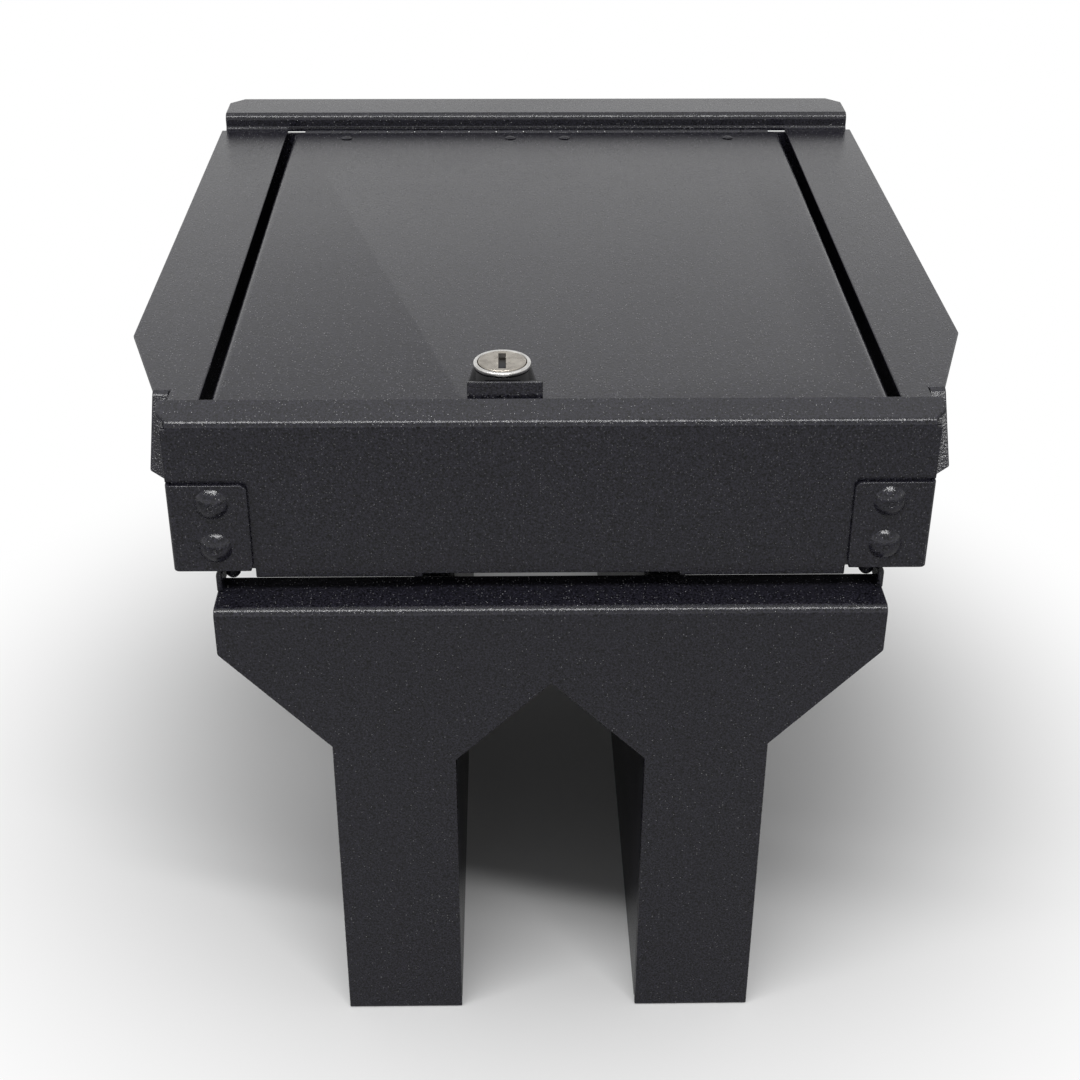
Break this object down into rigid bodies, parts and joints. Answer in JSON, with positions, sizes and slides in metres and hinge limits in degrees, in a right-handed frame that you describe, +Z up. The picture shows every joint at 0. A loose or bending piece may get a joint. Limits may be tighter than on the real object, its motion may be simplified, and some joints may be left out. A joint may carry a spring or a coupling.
{
  "type": "console safe",
  "caption": "Shallow steel console safe with a keyed, piano-hinged lid, a hanging rim and a two-legged folded-sheet stand.",
  "frame": {"origin": "on the surface that the stand's feet rest on, under the middle of the bounding box", "axes": "+X to the right seen from the front wall, +Y from the front wall to the hinge, +Z up"},
  "size_m": [0.2938, 0.34, 0.2566],
  "materials": {
    "satin_black": "fine-textured satin black powder coat",
    "gloss_black": "smooth gloss black",
    "lock_metal": "satin nickel plate",
    "plain_steel": "zinc-plated steel"
  },
  "bodies": {
    "safe": {"top_frame": "satin_black", "box_shell": "satin_black", "front_wall": "satin_black", "latch_strike": "satin_black", "left_corner_rivet_1": "satin_black", "left_corner_rivet_2": "satin_black", "right_corner_rivet_1": "satin_black", "right_corner_rivet_2": "satin_black", "hinge_frame_leaf": "satin_black", "hinge_pin": "plain_steel", "frame_hinge_rivet_1": "satin_black", "frame_hinge_rivet_2": "satin_black", "frame_hinge_rivet_3": "satin_black", "frame_hinge_rivet_4": "satin_black", "front_leg_bracket": "satin_black", "rear_leg_bracket": "satin_black", "right_rail": "satin_black", "left_rail": "satin_black", "right_support_angle": "satin_black", "left_support_angle": "satin_black", "floor_rivet_1": "satin_black", "floor_rivet_2": "satin_black", "floor_rivet_3": "satin_black", "floor_rivet_4": "satin_black", "floor_rivet_5": "satin_black", "floor_rivet_6": "satin_black"},
    "lid": {"lid_panel": "satin_black", "hinge_lid_leaf": "satin_black", "lid_hinge_rivet_1": "satin_black", "lid_hinge_rivet_2": "satin_black", "lid_hinge_rivet_3": "satin_black", "lid_hinge_rivet_4": "satin_black", "lock_collar": "gloss_black", "lock_barrel": "lock_metal", "lock_nut": "plain_steel"},
    "lock_core": {"lock_plug": "lock_metal", "lock_cam": "plain_steel", "cam_screw": "plain_steel"}
  },
  "joints": [
    {"name": "lid_hinge", "type": "hinge", "parent": "safe", "child": "lid", "pos_m": [0, 0.1427, 0.244], "axis": [-1, 0, 0], "range_deg": [0, 97]},
    {"name": "lock_turn", "type": "hinge", "parent": "lid", "child": "lock_core", "pos_m": [-0.0161, -0.1332, 0.23], "axis": [0, 0, -1], "range_deg": [0, 90]}
  ]
}
